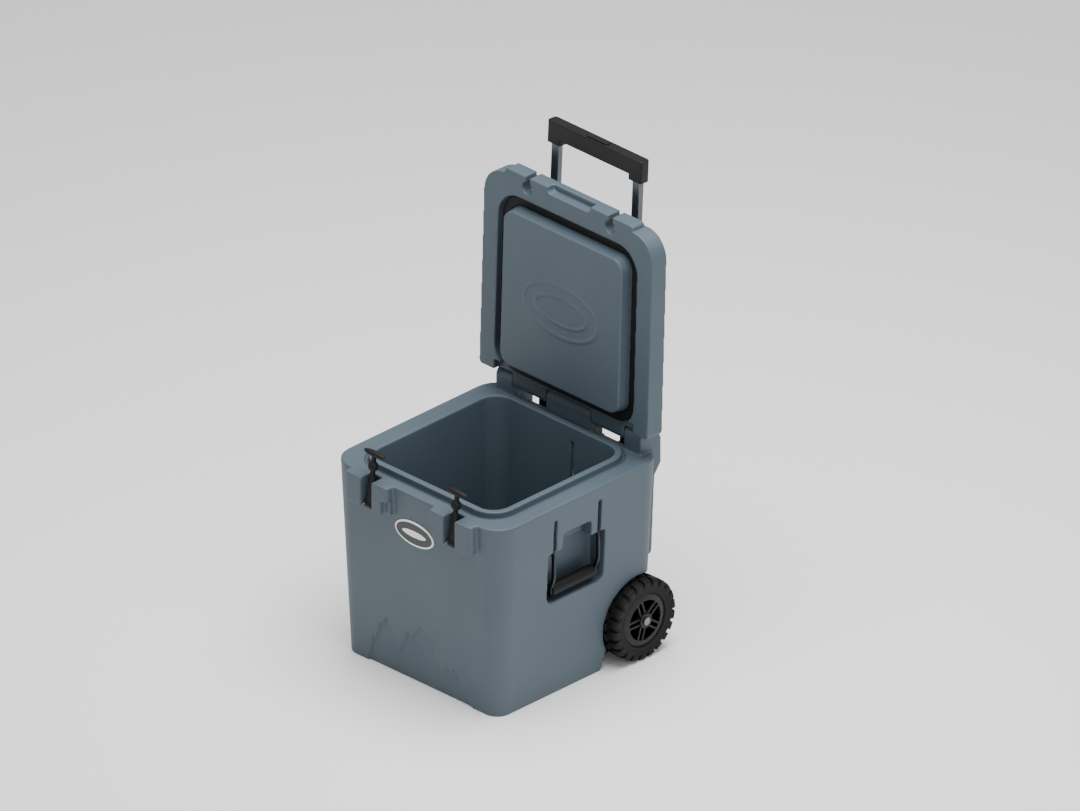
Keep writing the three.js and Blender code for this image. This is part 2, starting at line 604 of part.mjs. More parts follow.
function lidOutline(shrink) {
  const shape = new THREE.Shape();
  const front = -LID_FRONT + shrink;
  const back = LID_BACK - shrink;
  const side = HALF_W - shrink;
  const radius = BODY_R - shrink;
  const small = Math.max(2, 10 - shrink);
  shape.moveTo(side, back - small);
  shape.absarc(side - small, back - small, small, 0, Math.PI / 2);
  shape.absarc(-side + small, back - small, small, Math.PI / 2, Math.PI);
  shape.absarc(-side + radius, front + radius, radius, Math.PI, 1.5 * Math.PI);
  shape.absarc(side - radius, front + radius, radius, 1.5 * Math.PI, 2 * Math.PI);
  return shape;
}

function lidPlug(shrink, z0, z1) {
  const top = -PLUG_GAP - shrink;
  const bottom = top - 4;
  const at = (grow) => roundRect(MOUTH_W + 2 * grow, MOUTH_D + 2 * grow, CAVITY_R + grow, 0, MOUTH_Y);
  return toSolid(taperedPrism(at(top), at(bottom), z0, z1));
}

function lidBump(low, high) {
  const shape = roundRect(LID_BUMP_W, LID_BUMP + 24, 9, 0, -LID_FRONT - LID_BUMP / 2 + 12);
  return toSolid(prism(shape, low, high, 3));
}

function lidFoam(grow) {
  const skin = SKIN - grow;
  const rimTop = LIP_TOP + GASKET_T + 2 * GAP + skin;
  const over = toSolid(prism(lidOutline(26 - grow), rimTop, LID_TOP - skin, 5));
  const plug = lidPlug(skin, LID_LOW - PLUG_DEPTH + skin, rimTop + 1);
  return over.add(plug);
}

function makeLid() {
  const low = LID_LOW;
  const seatTop = LIP_TOP + GASKET_T + 2 * GAP;
  const seatOut = LIP_W + 3;
  const fillZ = (seatTop + LID_TOP) / 2;
  let shell = toSolid(prism(lidOutline(0), low, LID_TOP, 6)).add(lidBump(low, LID_TOP - 8));
  for (const sign of [-1, 1]) {
    const knuckle = new THREE.Shape();
    knuckle.moveTo(LID_BACK - 10, seatTop + 1);
    knuckle.lineTo(HINGE_Y, HINGE_Z - LUG_R);
    knuckle.absarc(HINGE_Y, HINGE_Z, LUG_R, -Math.PI / 2, Math.PI / 2);
    knuckle.lineTo(LID_BACK - 10, LID_TOP);
    const solid = prismX(knuckle, LUG_IN + KNUCKLE_GAP, LUG_GAP_OUT - KNUCKLE_GAP, 6);
    shell = shell.add(toSolid(sign > 0 ? solid : mirrored(solid)));
  }
  const seat = cut(mouthStraight(seatOut, low - 1, seatTop), lidPlug(0, low - 2, seatTop + 1));
  const seatHalf = MOUTH_W / 2 + seatOut;
  const backWay = block(-seatHalf, seatHalf, MOUTH_Y + MOUTH_D / 2, LID_BACK + 5, low - 1, seatTop);
  shell = cut(shell, seat, backWay);
  shell = shell.add(lidPlug(0, low - PLUG_DEPTH, seatTop + 1));
  const fingerRecess = roundRect(FINGER_W, 2 * FINGER_D, 10, 0, -LID_FRONT - LID_BUMP);
  const bayY = -HALF_D + 3.6;
  const bay = (x) => toSolid(bar(BALL_R + 2.8, [x, bayY, low - 5], [x, bayY, LID_TOP + 5], 'z', 20));
  const keyhole = (sign) => join(
    bay(sign * LATCH_X),
    block(
      sign * LATCH_X - KEYHOLE_W / 2,
      sign * LATCH_X + KEYHOLE_W / 2,
      -LID_FRONT - 30,
      -HALF_D + 4,
      low - 5,
      LID_TOP + 5,
    ),
  );
  shell = cut(
    shell,
    keyhole(1),
    keyhole(-1),
    toSolid(prism(fingerRecess, low - 1, low + FINGER_H, 3)),
    hingePinSolid(GAP, -LUG_OUT, LUG_OUT),
    lidFoam(GAP),
    toSolid(bar(LID_FILL_R, [0, LID_BACK - 40, fillZ], [0, LID_BACK + 1, fillZ], 'y', 16)),
  );
  addPiece('lid_shell', shell, bluePlastic, inLid);
  addPiece('lid_foam', lidFoam(0), foam, inLid);
  addPiece('gasket', cut(
    mouthStraight(LIP_W, LIP_TOP + GAP, LIP_TOP + GAP + GASKET_T),
    mouthStraight(-PLUG_GAP + 2 * GAP + 1, LIP_TOP, LIP_TOP + 10),
  ), rubber, inLid);
  addPiece('lid_fill_plug', bar(
    LID_FILL_R - GAP,
    [0, LID_BACK - SKIN, fillZ],
    [0, LID_BACK - 1, fillZ],
    'y',
    16,
  ), blackPlastic, inLid);
}

// ---- latches ----------------------------------------------------------------------------------------
function makeLatch(side, sign) {
  const latch = new THREE.Group();
  latch.position.set(sign * LATCH_X, -HALF_D - ANCHOR_OUT, ANCHOR_Z);
  latch.rotation.x = -THREE.MathUtils.degToRad(STRAP_LEAN);
  cooler.add(latch);
  const neckLow = STRAP_L - 56;
  const strapSide = [
    [STRAP_W / 2, 0],
    [STRAP_W / 2 - 1, neckLow],
    [STRAP_NECK / 2, neckLow + 14],
    [STRAP_NECK / 2, STRAP_L],
  ];
  const strap = outline([...strapSide, ...strapSide.map(([x, z]) => [-x, z]).reverse()]);
  const ball = new THREE.SphereGeometry(BALL_R, 16, 10).scale(1, 0.9, 0.95).translate(0, 0, STRAP_L - 29);
  const foot = bar(ANCHOR_R + 4, [-STRAP_W / 2, 0, 0], [STRAP_W / 2, 0, 0], 'x', 16);
  const tee = new THREE.SphereGeometry(1, 16, 10).scale(TEE_W / 2, TEE_R + 2, TEE_R).translate(0, 0, STRAP_L);
  const band = prismY(strap, -STRAP_T / 2, STRAP_T / 2);
  const solid = join(...[band, ball, foot, tee].map(toSolid));
  const hole = toSolid(bar(ANCHOR_R + GAP, [-STRAP_W, 0, 0], [STRAP_W, 0, 0], 'x', 14));
  addPiece(`latch_strap_${side}`, solid.subtract(hole), rubber, latch);
  const y = -HALF_D - ANCHOR_OUT;
  const x = sign * LATCH_X;
  const pin = bar(ANCHOR_R, [x - ANCHOR_HALF, y, ANCHOR_Z], [x + ANCHOR_HALF, y, ANCHOR_Z], 'x', 14);
  addPiece(`latch_pin_${side}`, pin, steel);
}

// ---- side handles -----------------------------------------------------------------------------------
// A flat bar that follows a line of points, as an outline of even width.
function ribbon(points, width) {
  const line = points.map(([a, b]) => new THREE.Vector2(a, b));
  const left = [];
  const right = [];
  line.forEach((point, i) => {
    const before = line[Math.max(0, i - 1)];
    const after = line[Math.min(line.length - 1, i + 1)];
    const along = after.clone().sub(before).normalize();
    const across = new THREE.Vector2(-along.y, along.x).multiplyScalar(width / 2);
    left.push(point.clone().add(across));
    right.unshift(point.clone().sub(across));
  });
  return new THREE.Shape([...right, ...left]);
}

// The arm's middle line, from its pivot down to the grip.
const ARM_PATH = [[-1, 5], [8, -10], [12, -25], [12, -72], [8, -86], [-4, -112]]
  .map(([x, z]) => [PIVOT_X + x, PIVOT_Z + z]);
const GRIP_AT = [PIVOT_X - 4, PIVOT_Z - 110];

function makeSideHandle(side, sign) {
  const arms = [];
  const pins = [];
  const turned = (geometry) => toSolid(sign > 0 ? geometry : mirrored(geometry));
  for (const end of [-1, 1]) {
    const y = POCKET_Y + end * ARM_SPREAD / 2;
    const arm = turned(prismY(ribbon(ARM_PATH, ARM_W), y - ARM_T / 2, y + ARM_T / 2));
    const across = (radius, [x, z], half, sides) => {
      return turned(bar(radius, [x, y - half, z], [x, y + half, z], 'y', sides));
    };
    const pivot = [PIVOT_X, PIVOT_Z];
    const eye = across(PIVOT_R + 4, pivot, ARM_T / 2, 16);
    const boss = across(GRIP_R - 3, GRIP_AT, ARM_T / 2, 16);
    arms.push(join(arm, eye, boss).subtract(across(PIVOT_R + GAP, pivot, 10, 14)));
    pins.push(across(PIVOT_R, pivot, PIVOT_HALF, 14));
  }
  const inner = (ARM_SPREAD - ARM_T) / 2;
  const rodAt = (radius, half) => turned(bar(
    radius,
    [GRIP_AT[0], POCKET_Y - half, GRIP_AT[1]],
    [GRIP_AT[0], POCKET_Y + half, GRIP_AT[1]],
    'y',
    20,
  ));
  addPiece(`side_handle_bail_${side}`, join(...arms, rodAt(ROD_R, inner + 1)), darkSteel);
  const grip = rodAt(GRIP_R, inner - GAP).subtract(rodAt(ROD_R + GAP, inner + 2));
  addPiece(`side_handle_grip_${side}`, grip, rubber);
  addPiece(`side_handle_pin_${side}_front`, pins[0], steel);
  addPiece(`side_handle_pin_${side}_back`, pins[1], steel);
}

// ---- wheels -----------------------------------------------------------------------------------------
function ring(profile, sides) {
  const points = profile.map(([radius, x]) => new THREE.Vector2(radius, x));
  points.push(points[0].clone());
  return new THREE.LatheGeometry(points, sides).rotateZ(-Math.PI / 2);
}

function makeWheel(side, sign) {
  const wheel = new THREE.Group();
  wheel.position.set(0, WHEEL_Y, WHEEL_R);
  wheel.rotation.z = sign > 0 ? 0 : Math.PI;
  cooler.add(wheel);
  const tyre = ring([
    [RIM_R + GAP, WHEEL_IN + 4], [WHEEL_R - 10, WHEEL_IN], [WHEEL_R, WHEEL_IN + TYRE_CROWN],
    [WHEEL_R, WHEEL_OUT - TYRE_CROWN], [WHEEL_R - 10, WHEEL_OUT], [RIM_R + GAP, WHEEL_OUT - 4],
  ], 40);
  addPiece(`tyre_${side}`, tyre, rubber, wheel);
  const bore = AXLE_R + GAP;
  const band = (inner, outer, from, to) => [[inner, from], [outer, from], [outer, to], [inner, to]];
  const rimInner = RIM_R - 15;
  const rim = toSolid(ring([
    [rimInner - 1, WHEEL_IN + 8],
    [RIM_R, WHEEL_IN + 5],
    [RIM_R, WHEEL_OUT - 5],
    [rimInner + 1, WHEEL_OUT - 2],
  ], 32));
  const boss = toSolid(ring(band(bore, BOSS_R, WELL_IN + 3, WHEEL_OUT + 1), 24));
  const web = toSolid(ring(band(BOSS_R - 1, rimInner, WHEEL_IN + 16, WHEEL_IN + 21), 24));
  const spokes = [];
  for (let group = 0; group < 5; group += 1) {
    for (const offset of [-6.5, 6.5]) {
      const spoke = new THREE.BoxGeometry(WHEEL_OUT - WHEEL_IN - 22, 5, 33);
      spoke.translate((WHEEL_IN + WHEEL_OUT) / 2 + 8, offset, 31);
      spoke.rotateX((group + 0.25) * 2 * Math.PI / 5);
      spokes.push(toSolid(spoke));
    }
  }
  addPiece(`hub_${side}`, join(rim, boss, web, ...spokes), blackPlastic, wheel);
  const head = bar(BOLT_HEAD_R, [WHEEL_OUT + 1.5, 0, 0], [WHEEL_OUT + 4.5, 0, 0], 'x', 12);
  const shank = bar(BOLT_R, [WHEEL_OUT - 18, 0, 0], [WHEEL_OUT + 2, 0, 0], 'x', 12);
  addPiece(`axle_bolt_${side}`, join(toSolid(head), toSolid(shank)), steel, wheel);
}

function makeAxle() {
  const reach = WHEEL_OUT - 0.5;
  const rod = toSolid(bar(AXLE_R, [-reach, WHEEL_Y, WHEEL_R], [reach, WHEEL_Y, WHEEL_R], 'x', 20));
  const tapped = (sign) => {
    const ends = [sign * (WHEEL_OUT - 20), sign * (reach + 2)].sort((a, b) => a - b);
    return toSolid(bar(BOLT_R + GAP, [ends[0], WHEEL_Y, WHEEL_R], [ends[1], WHEEL_Y, WHEEL_R], 'x', 12));
  };
  addPiece('axle', cut(rod, tapped(1), tapped(-1)), steel);
}

// ---- pull handle ------------------------------------------------------------------------------------
const pull = new THREE.Group();
pull.position.set(0, HALF_D + TUBE_Y, BODY_H);
pull.rotation.x = -LEAN;
cooler.add(pull);

function tube(x, width, depth, low, high) {
  const outer = toSolid(prism(roundRect(width, depth, 3, x, 0), low, high, 2));
  const inside = roundRect(width - 2 * TUBE_WALL, depth - 2 * TUBE_WALL, 1.5, x, 0);
  return outer.subtract(toSolid(prism(inside, low - 1, high + 1, 2)));
}

function makeBracket(name, low, high, screws) {
  const reachX = TUBE_X + SLEEVE_W / 2 + 10;
  const face = -(TUBE_Y - PANEL_OUT) + GAP;
  const depth = face + SLEEVE_D + 8;
  let solid = block(-reachX, reachX, face, depth, low, high);
  for (const sign of [-1, 1]) {
    const x = sign * TUBE_X;
    const w = SLEEVE_W / 2 + GAP;
    const d = SLEEVE_D / 2 + GAP;
    solid = solid.subtract(block(x - w, x + w, -d, d, low - 1, high + 1));
  }
  const open = TUBE_X - BRACKET_BLOCK;
  solid = solid.subtract(block(-open, open, face + 8, depth + 1, low - 1, high + 1));
  for (const x of [SCREW_IN - TUBE_X, TUBE_X - SCREW_IN]) {
    const middle = (low + high) / 2;
    solid = solid.subtract(toSolid(bar(BOLT_R + GAP, [x, face - 1, middle], [x, face + 12, middle], 'y', 12)));
    screws.push(join(
      toSolid(bar(BOLT_R, [x, face + 0.4, middle], [x, face + 9, middle], 'y', 12)),
      toSolid(bar(6, [x, face + 8 + GAP, middle], [x, face + 11.5, middle], 'y', 12)),
    ));
  }
  addPiece(name, solid, blackPlastic, pull);
}

function makePullHandle() {
  for (const [side, sign] of [['right', 1], ['left', -1]]) {
    const x = sign * TUBE_X;
    addPiece(`handle_sleeve_${side}`, tube(x, SLEEVE_W, SLEEVE_D, SLEEVE_LOW, SLEEVE_HIGH), darkSteel, pull);
    const middle = tube(x, MIDDLE_W, MIDDLE_D, MIDDLE_LOW, MIDDLE_HIGH);
    addPiece(`handle_middle_tube_${side}`, middle, darkSteel, pull);
    addPiece(`handle_inner_tube_${side}`, tube(x, TUBE_W, TUBE_D, INNER_LOW, INNER_HIGH), steel, pull);
  }
  const screws = [];
  const upper = PANEL_HIGH - BRACKET_EDGE;
  const lower = PANEL_LOW + BRACKET_EDGE;
  makeBracket('handle_bracket_upper', upper - BRACKET_H, upper, screws);
  makeBracket('handle_bracket_lower', lower, lower + BRACKET_H, screws);
  screws.forEach((screw, i) => addPiece(`bracket_screw_${i + 1}`, screw, steel, pull));
  const half = BAR_W / 2;
  const round = 6;
  let grip = toSolid(prism(roundRect(BAR_W, BAR_D, round), BAR_LOW, BAR_HIGH, 3));
  for (const sign of [-1, 1]) {
    const x = sign * (half - SOCKET_W / 2);
    grip = grip.add(toSolid(prism(roundRect(SOCKET_W, BAR_D, round, x, 0), SOCKET_LOW, BAR_LOW + 1, 3)));
    const hole = roundRect(TUBE_W + 2 * GAP, TUBE_D + 2 * GAP, 3, sign * TUBE_X, 0);
    grip = grip.subtract(toSolid(prism(hole, SOCKET_LOW - 1, INNER_HIGH + GAP, 2)));
  }
  const seat = roundRect(BUTTON_W + 1, BUTTON_D + 1, 5);
  const buttonLow = BAR_HIGH + BUTTON_UP - BUTTON_H;
  grip = grip.subtract(toSolid(prism(seat, buttonLow - BUTTON_TRAVEL, BAR_HIGH + 1, 3)));
  addPiece('pull_grip', grip, blackPlastic, pull);
  const button = prism(roundRect(BUTTON_W, BUTTON_D, 4.5), buttonLow, buttonLow + BUTTON_H, 3);
  addPiece('release_button', button, blackPlastic, pull);
}

makeBody();
makeBadge();
makeDrain();
makeLid();
makeAxle();
for (const [side, sign] of [['right', 1], ['left', -1]]) {
  makeLatch(side, sign);
  makeSideHandle(side, sign);
  makeWheel(side, sign);
}
makePullHandle();

export default cooler;
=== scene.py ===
"""Looks for the wheeled cooler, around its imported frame: moulded shells, rubber, metal and treaded tyres."""
import json
import math

import bmesh
import bpy
from mathutils import Matrix, Vector
from mathutils.bvhtree import BVHTree


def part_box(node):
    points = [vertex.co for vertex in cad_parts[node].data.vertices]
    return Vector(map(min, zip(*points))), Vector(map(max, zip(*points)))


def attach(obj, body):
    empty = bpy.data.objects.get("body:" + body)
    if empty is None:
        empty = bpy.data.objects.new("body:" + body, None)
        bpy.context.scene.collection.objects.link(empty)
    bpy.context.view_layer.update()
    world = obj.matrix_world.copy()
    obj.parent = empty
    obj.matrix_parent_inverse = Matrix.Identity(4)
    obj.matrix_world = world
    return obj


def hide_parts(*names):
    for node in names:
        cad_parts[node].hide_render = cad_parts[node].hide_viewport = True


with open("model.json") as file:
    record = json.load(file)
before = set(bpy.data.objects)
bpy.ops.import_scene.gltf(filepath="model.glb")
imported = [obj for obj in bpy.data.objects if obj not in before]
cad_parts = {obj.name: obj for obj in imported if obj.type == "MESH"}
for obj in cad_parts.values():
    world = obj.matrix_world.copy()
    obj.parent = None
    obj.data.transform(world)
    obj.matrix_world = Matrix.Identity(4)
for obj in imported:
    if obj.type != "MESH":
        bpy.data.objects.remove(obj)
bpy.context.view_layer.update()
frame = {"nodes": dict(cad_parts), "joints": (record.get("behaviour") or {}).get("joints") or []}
MM = 0.001
WALL_DRAFT = 0.0503  # how much the outside wall leans, tangent
FOAM_GAP = 0.35 * MM  # between the foam and the shell around it
WELD = 0.002 * MM  # corners nearer than this are one corner
GRAIN_DEPTH = 0.2 * MM  # height of the moulded or brushed grain
DRIFT_SCALE = 6.0  # how many patches of the slow colour drift to a metre
DRIFT_FROM = 0.3  # where the drift leaves the darker shade
DRIFT_TO = 0.7  # where it reaches the lighter one
SMOOTHER = 0.05  # how far the grain takes the roughness down
ROUGHER = 0.07  # and how far it takes it up

# ---- materials ------------------------------------------------------------------------------------


def material(name, low, high, rough, bump=0.0, grain=600.0, metallic=0.0, specular=0.5):
    """A surface whose colour drifts between two near shades, with a fine moulded or brushed grain."""
    mat = bpy.data.materials.new(name)
    mat.use_nodes = True
    nodes, links = mat.node_tree.nodes, mat.node_tree.links
    shader = nodes["Principled BSDF"]
    shader.inputs["Metallic"].default_value = metallic
    shader.inputs["Specular IOR Level"].default_value = specular
    place = nodes.new("ShaderNodeTexCoord")

    broad = nodes.new("ShaderNodeTexNoise")
    broad.inputs["Scale"].default_value = DRIFT_SCALE
    broad.inputs["Detail"].default_value = 5.0
    links.new(place.outputs["Object"], broad.inputs["Vector"])
    shade = nodes.new("ShaderNodeValToRGB")
    shade.color_ramp.elements[0].position = DRIFT_FROM
    shade.color_ramp.elements[0].color = (*low, 1)
    shade.color_ramp.elements[1].position = DRIFT_TO
    shade.color_ramp.elements[1].color = (*high, 1)
    links.new(broad.outputs["Fac"], shade.inputs["Fac"])
    links.new(shade.outputs["Color"], shader.inputs["Base Color"])

    fine = nodes.new("ShaderNodeTexNoise")
    fine.inputs["Scale"].default_value = grain
    fine.inputs["Detail"].default_value = 3.0
    links.new(place.outputs["Object"], fine.inputs["Vector"])
    gloss = nodes.new("ShaderNodeMapRange")
    gloss.inputs["To Min"].default_value = rough - SMOOTHER
    gloss.inputs["To Max"].default_value = rough + ROUGHER
    links.new(fine.outputs["Fac"], gloss.inputs["Value"])
    links.new(gloss.outputs["Result"], shader.inputs["Roughness"])
    if bump:
        relief = nodes.new("ShaderNodeBump")
        relief.inputs["Strength"].default_value = bump
        relief.inputs["Distance"].default_value = GRAIN_DEPTH
        links.new(fine.outputs["Fac"], relief.inputs["Height"])
        links.new(relief.outputs["Normal"], shader.inputs["Normal"])
    return mat


BLUE = material("moulded_blue", (0.051, 0.076, 0.098), (0.058, 0.085, 0.107), 0.55, 0.35, 700)
BLACK = material(
    "black_plastic", (0.0015, 0.0015, 0.0018), (0.003, 0.003, 0.0034), 0.42, 0.3, 900, specular=0.3
)
RUBBER = material(
    "black_rubber", (0.0015, 0.0015, 0.0015), (0.003, 0.003, 0.003), 0.6, 0.4, 1100, specular=0.3
)
TYRE = material(
    "tyre_rubber", (0.0015, 0.0015, 0.0018), (0.0035, 0.0035, 0.0035), 0.7, 0.6, 500, specular=0.3
)
STEEL = material("brushed_steel", (0.50, 0.51, 0.52), (0.58, 0.59, 0.60), 0.28, 0.15, 1400, metallic=1)
ALUMINIUM = material("anodised_tube", (0.10, 0.11, 0.12), (0.14, 0.15, 0.16), 0.3, 0.12, 1500, metallic=1)
BOLT_METAL = material("dull_bolt", (0.16, 0.165, 0.17), (0.22, 0.225, 0.23), 0.4, 0.2, 1300, metallic=1)
DARK_METAL = material(
    "dark_metal", (0.035, 0.038, 0.042), (0.05, 0.053, 0.057), 0.36, 0.2, 1200, metallic=0.9
)
FOAM = material("insulating_foam", (0.72, 0.62, 0.36), (0.84, 0.75, 0.48), 0.9, 0.8, 350)
WHITE = material("badge_white", (0.78, 0.79, 0.79), (0.84, 0.84, 0.84), 0.4, 0.1, 900)
INK = material("badge_black", (0.010, 0.010, 0.010), (0.014, 0.014, 0.014), 0.4, 0.1, 900)

# ---- mesh tools -----------------------------------------------------------------------------------


def new_object(name, mesh, surface):
    obj = bpy.data.objects.new(name, mesh)
    bpy.context.scene.collection.objects.link(obj)
    mesh.materials.clear()
    mesh.materials.append(surface)
    return obj


def applied(obj):
    """Applies the modifiers that are on an object to its mesh."""
    graph = bpy.context.evaluated_depsgraph_get()
    done = bpy.data.meshes.new_from_object(obj.evaluated_get(graph))
    surface = obj.data.materials[0]
    obj.modifiers.clear()
    obj.data = done
    done.materials.clear()
    done.materials.append(surface)
    for polygon in done.polygons:
        polygon.material_index = 0
        polygon.use_smooth = True
    return obj


def cad_copy(node):
    """A bmesh copy of a CAD node with its corners joined again."""
    bm = bmesh.new()
    bm.from_mesh(frame["nodes"][node].data)
    bmesh.ops.remove_doubles(bm, verts=bm.verts, dist=WELD)
    return bm


def to_mesh(bm, name):
    mesh = bpy.data.meshes.new(name)
    bm.to_mesh(mesh)
    bm.free()
    return mesh


def soften(obj, voxel, rounds, faces):
    """Rounds a moulded piece's edges: voxel remesh, smooth, then as few faces as it needs."""
    remesh = obj.modifiers.new("remesh", "REMESH")
    remesh.mode = "VOXEL"
    remesh.voxel_size = voxel * MM * 1
    smooth = obj.modifiers.new("smooth", "SMOOTH")
    smooth.factor = 0.5
    smooth.iterations = rounds
    applied(obj)
    triangles = 2 * len(obj.data.polygons)
    if triangles > faces:
        thin = obj.modifiers.new("thin", "DECIMATE")
        thin.ratio = faces / triangles
        applied(obj)
    return obj


def settle(obj, body, slot, *nodes):
    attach(obj, body)
    if nodes:
        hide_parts(*nodes)
    return obj


def without_hollow(bm, foam_node):
    """Takes out the walls of the foam space and closes the way into it."""
    foam = cad_copy(foam_node)
    tree = BVHTree.FromBMesh(foam)
    foam.free()
    near = FOAM_GAP * 2
    walls = [f for f in bm.faces if all(tree.find_nearest(v.co, near)[0] for v in f.verts)]
    bmesh.ops.delete(bm, geom=walls, context="FACES")
    rims = [e for e in bm.edges if e.is_boundary]
    bmesh.ops.holes_fill(bm, edges=rims, sides=0)
    bmesh.ops.recalc_face_normals(bm, faces=bm.faces)


def moulded(node, body, slot, surface, voxel, rounds=4, faces=30000, extra=None, foam_node=None):
    """A softened copy of a CAD node, which then stands for it."""
    bm = cad_copy(node)
    if foam_node:
        without_hollow(bm, foam_node)
    if extra:
        extra(bm)
    obj = new_object(node + "_skin", to_mesh(bm, node + "_skin"), surface)
    soften(obj, voxel, rounds, faces)
    return settle(obj, body, slot, node)


# ---- body and lid ---------------------------------------------------------------------------------
LID = {j["name"]: j for j in frame["joints"]}["lid_hinge"]
LID_AXIS = Vector(LID["pos_m"])
LID_OPEN = math.radians(LID["range_deg"][1])
OPEN = Matrix.Translation(LID_AXIS) @ Matrix.Rotation(-LID_OPEN, 4, "X") @ Matrix.Translation(-LID_AXIS)
SHUT = OPEN.inverted()
EMBLEM_Y = -7 * MM  # middle of the lid's plug
EMBLEM_H = 3.5 * MM  # height of the oval bands, part of it sunk in the plug
EMBLEM_PROUD = 1.6 * MM  # what stands out of the plug


def oval_ring(bm, middle, size, width, height, place, steps=72):
    """A raised oval band lying in XY, moved by `place`."""
    loops = []
    for grow, z in ((0, 0), (0, height), (-width, height), (-width, 0)):
        loop = []
        for i in range(steps):
            turn = 2 * math.pi * i / steps
            at = Vector(((size[0] + grow) * math.cos(turn), (size[1] + grow) * math.sin(turn), z))
            loop.append(bm.verts.new(place @ (Vector(middle) + at)))
        loops.append(loop)
    for a, b in zip(loops, loops[1:] + loops[:1]):
        for i in range(steps):
            j = (i + 1) % steps
            bm.faces.new((a[i], a[j], b[j], b[i]))


def plug_emblem(bm):
    """Two plain oval bands, one inside the other, raised on the lid's plug."""
    shut = [SHUT @ v.co for v in bm.verts]
    low = min(point.z for point in shut)
    middle = (0, EMBLEM_Y, low - EMBLEM_PROUD)
    oval_ring(bm, middle, (112 * MM, 62 * MM), 6 * MM, EMBLEM_H, OPEN)
    oval_ring(bm, middle, (78 * MM, 34 * MM), 5 * MM, EMBLEM_H, OPEN)


moulded("body_shell", "body", "blue_plastic", BLUE, 2.4, rounds=3, faces=190000, foam_node="body_foam")
moulded(
    "lid_shell", "lid", "blue_plastic", BLUE, 2.0, rounds=3, faces=150000,
    extra=plug_emblem, foam_node="lid_foam",
)
moulded("gasket", "lid", "black_rubber", RUBBER, 1.2, rounds=6, faces=40000)

# ---- latches, side handles, pull handle -----------------------------------------------------------
for side in ("right", "left"):
    moulded(f"latch_strap_{side}", f"latch_{side}", "black_rubber", RUBBER, 0.8, rounds=5, faces=40000)
    bail = f"side_handle_bail_{side}"
    moulded(bail, f"side_handle_{side}", "dark_metal", DARK_METAL, 0.8, rounds=2, faces=40000)
    moulded(f"hub_{side}", f"wheel_{side}", "black_plastic", BLACK, 0.9, rounds=3, faces=90000)
moulded("pull_grip", "handle_top", "black_plastic", BLACK, 1.0, rounds=4, faces=60000)
moulded("release_button", "button", "black_plastic", BLACK, 0.6, rounds=3, faces=12000)
moulded("drain_cap", "drain", "black_plastic", BLACK, 0.8, rounds=3, faces=20000)
for level in ("upper", "lower"):
    moulded(f"handle_bracket_{level}", "body", "black_plastic", BLACK, 1.2, rounds=3, faces=30000)


def lathe(bm, profile, middle, steps):
    """Turns a closed profile of (radius, x) points about the X axis through `middle`."""
    rings = []
    for i in range(steps):
        angle = 2 * math.pi * i / steps
        ring = []
        for r, x in profile:
            ring.append(bm.verts.new(middle + Vector((x, r * math.cos(angle), r * math.sin(angle)))))
        rings.append(ring)
    count = len(profile)
    for i in range(steps):
        a, b = rings[i], rings[(i + 1) % steps]
        for k in range(count):
            n = (k + 1) % count
            bm.faces.new((a[k], a[n], b[n], b[k]))


GRIP_BORE = 5.3 * MM  # around the bail's rod
GRIP_EDGE = 1.6 * MM  # how much the sleeve's ends are smaller
GRIP_RIB = 0.25 * MM  # depth of its rings
GRIP_RINGS = 12


def ribbed_grip(side):
    """A foam-rubber sleeve with shallow rings, on the bail's cross bar."""
    node = f"side_handle_grip_{side}"
    low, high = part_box(node)
    outer = (high.x - low.x) / 2
    inner = GRIP_BORE
    edge = outer - GRIP_EDGE
    half = (high.y - low.y) / 2
    profile = [(inner, -half), (edge, -half)]
    for i in range(GRIP_RINGS):
        y = -half + (2 * half) * (i + 0.5) / GRIP_RINGS
        step = half / GRIP_RINGS
        profile += [(outer - GRIP_RIB, y - step * 0.96), (outer, y - step * 0.6), (outer, y + step * 0.6)]
    profile += [(edge, half), (inner, half)]
    bm = bmesh.new()
    lathe(bm, profile, Vector(), 64)
    place = Matrix.Translation((low + high) / 2) @ Matrix.Rotation(math.pi / 2, 4, "Z")
    bmesh.ops.transform(bm, matrix=place, verts=bm.verts)
    bmesh.ops.recalc_face_normals(bm, faces=bm.faces)
    obj = new_object(node + "_skin", to_mesh(bm, node + "_skin"), RUBBER)
    bevel = obj.modifiers.new("bevel", "BEVEL")
    bevel.width = 0.5 * MM
    bevel.segments = 2
    applied(obj)
    settle(obj, f"side_handle_{side}", "black_rubber", node)


TREAD = 5.5 * MM  # tread depth
TYRE_BORE = 60.4 * MM  # around the hub's rim
SIDE_RING = 12 * MM  # raised ring on the side wall, out from the bore
LUGS = 22


